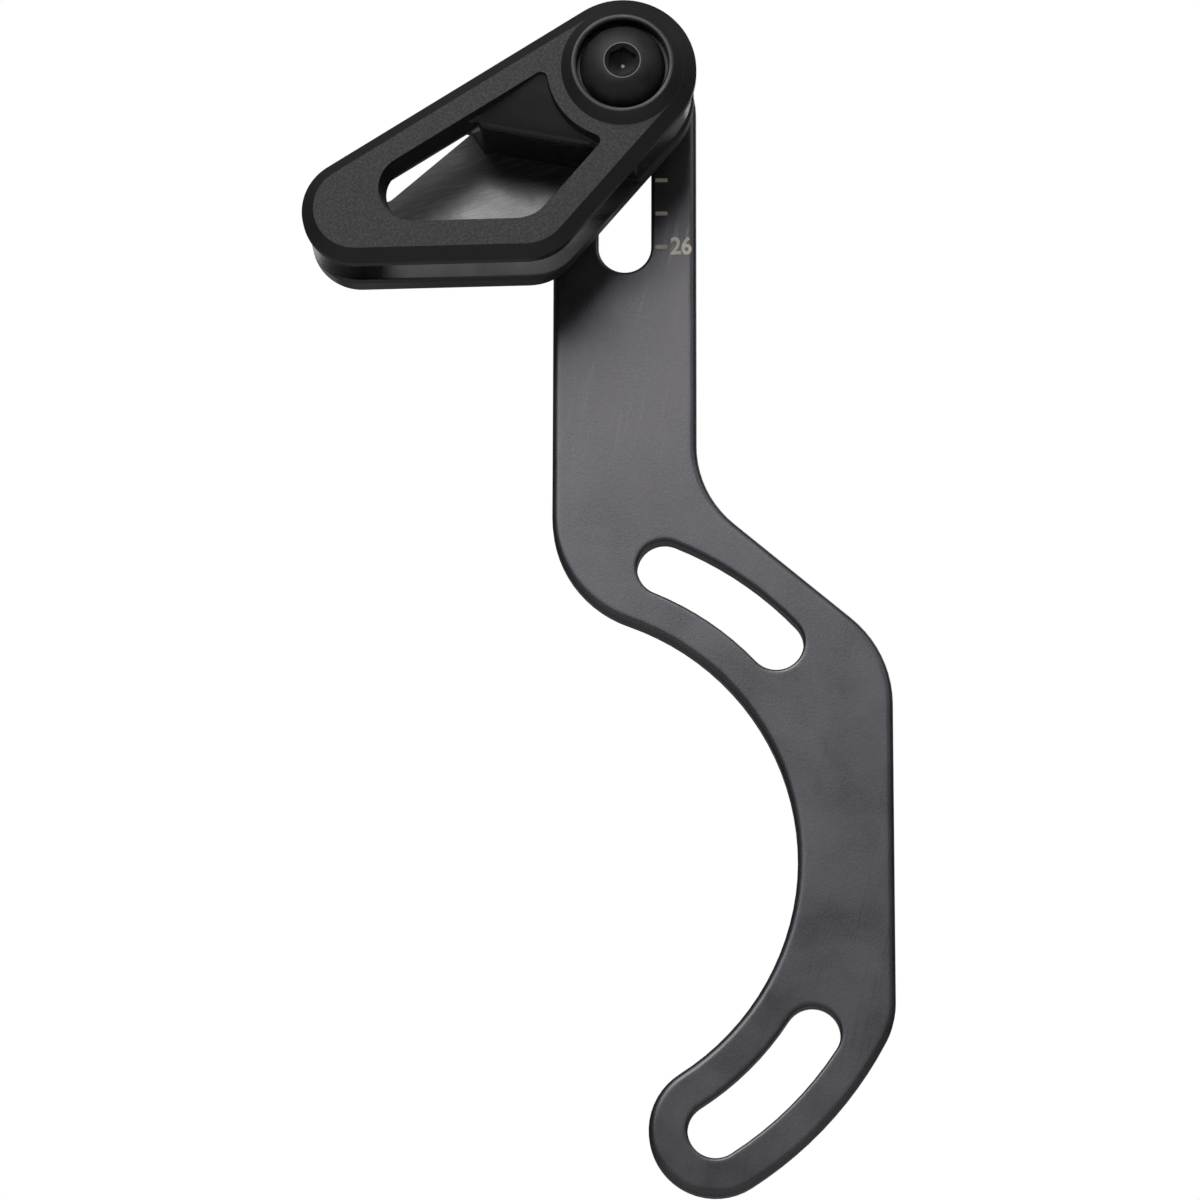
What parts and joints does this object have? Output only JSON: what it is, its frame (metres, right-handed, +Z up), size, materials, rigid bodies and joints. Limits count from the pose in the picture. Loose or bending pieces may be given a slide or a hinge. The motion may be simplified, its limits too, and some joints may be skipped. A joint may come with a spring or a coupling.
{
  "type": "bicycle chain guide",
  "caption": "Chain guide with a flat, curved-arm bracket and a moulded two-sided cage that keeps the chain on the chainring, clamped by a screw along a marked slot.",
  "frame": {"origin": "centre of the bolt circle that the two curved slots lie on, on the bracket's back face", "axes": "+X forward on the bicycle, +Z up along the adjusting slot, +Y out of the bracket's back face towards the frame"},
  "size_m": [0.0669, 0.0277, 0.1349],
  "materials": {
    "anodised_bracket": "black anodised, satin",
    "cage_plastic": "black moulded plastic, grained front face, smooth channel faces",
    "black_steel": "black oxide, semi-matt",
    "spacer_alloy": "black anodised, turned"
  },
  "bodies": {
    "bracket": {"bracket_plate": "anodised_bracket"},
    "clamp": {"clamp_screw": "black_steel", "clamp_nut": "black_steel", "chainline_spacer_thick": "spacer_alloy", "chainline_spacer_thin": "spacer_alloy"},
    "cage": {"outer_cage": "cage_plastic", "inner_cage_plate": "cage_plastic"}
  },
  "joints": [
    {"name": "height_slide", "type": "slide", "parent": "bracket", "child": "clamp", "axis": [0, 0, 1], "range_m": [-0.01616, 0]},
    {"name": "cage_swivel", "type": "hinge", "parent": "clamp", "child": "cage", "pos_m": [0.0093, -0.013, 0.08816], "axis": [0, 1, 0], "range_deg": [-20, 20]}
  ]
}
